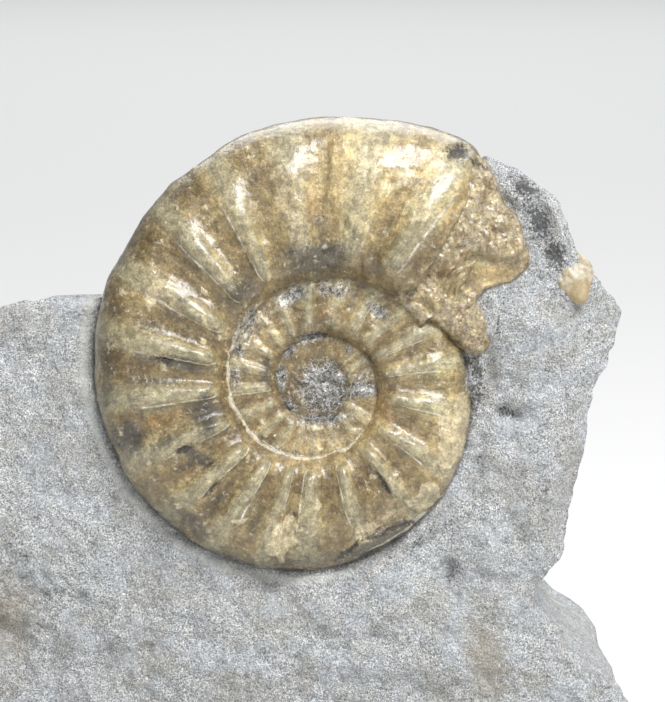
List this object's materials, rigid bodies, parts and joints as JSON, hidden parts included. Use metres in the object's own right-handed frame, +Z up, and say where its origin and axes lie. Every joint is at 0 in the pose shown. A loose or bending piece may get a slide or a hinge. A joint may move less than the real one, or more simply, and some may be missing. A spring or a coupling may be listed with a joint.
{
  "type": "ammonite fossil",
  "caption": "Ribbed calcite ammonite standing proud of a grey limestone block that rests on a sawn flat base.",
  "frame": {"origin": "on the sawn base, below the middle of the coil, about halfway from front to back", "axes": "+Z up, +X to the viewer's right along the length of the stone, -Y towards the viewer, out of the ammonite's face"},
  "size_m": [0.1147, 0.0465, 0.0968],
  "materials": {
    "calcite": "honey and olive translucent calcite, naturally glossy on the ribs",
    "limestone": "fine-grained pale blue-grey limestone, matt, speckled light and dark, with beige stains",
    "pale_calcite": "cream calcite, softly glossy"
  },
  "bodies": {
    "root": {"ammonite": "calcite", "matrix": "limestone", "calcite_chip": "pale_calcite"}
  },
  "joints": []
}
